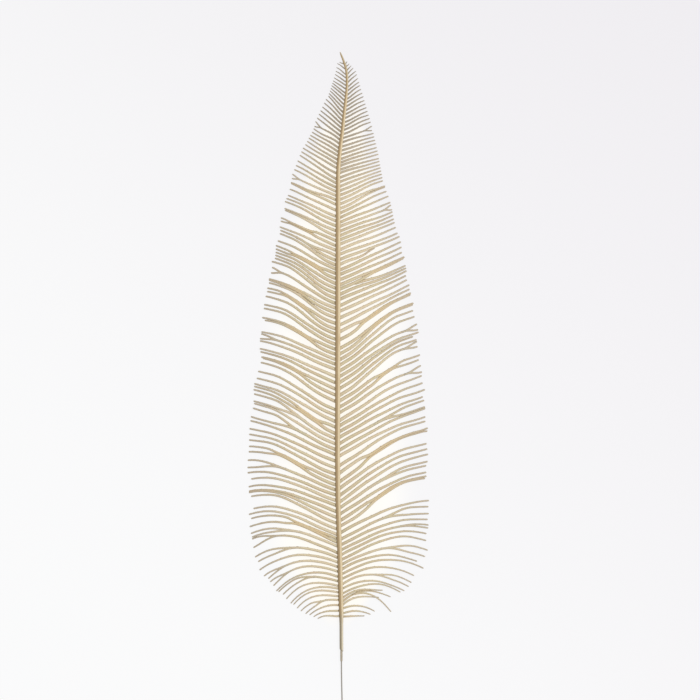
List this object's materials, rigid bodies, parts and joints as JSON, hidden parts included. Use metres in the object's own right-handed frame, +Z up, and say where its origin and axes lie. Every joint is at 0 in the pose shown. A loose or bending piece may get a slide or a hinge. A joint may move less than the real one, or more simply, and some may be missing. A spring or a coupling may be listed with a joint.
{
  "type": "dried fern frond",
  "caption": "Long dried feather frond lying flat: slender midrib with two rows of fine narrow leaflets, bare stalk and a thin stem wire held by a short binding.",
  "frame": {"origin": "on the surface that the frond lies on, under the middle of its bounding box", "axes": "+Y along the frond from the stalk to the tip, +Z up out of the surface, +X to the right of the frond seen from above"},
  "size_m": [0.236, 0.895, 0.0149],
  "materials": {
    "frond": "dry straw-like leaf, matt",
    "stem_wire": "thin grey florist's wire, dull",
    "wire_binding": "brown paper binding, matt"
  },
  "bodies": {
    "root": {"frond": "frond", "stem_wire": "stem_wire", "wire_binding": "wire_binding"}
  },
  "joints": []
}
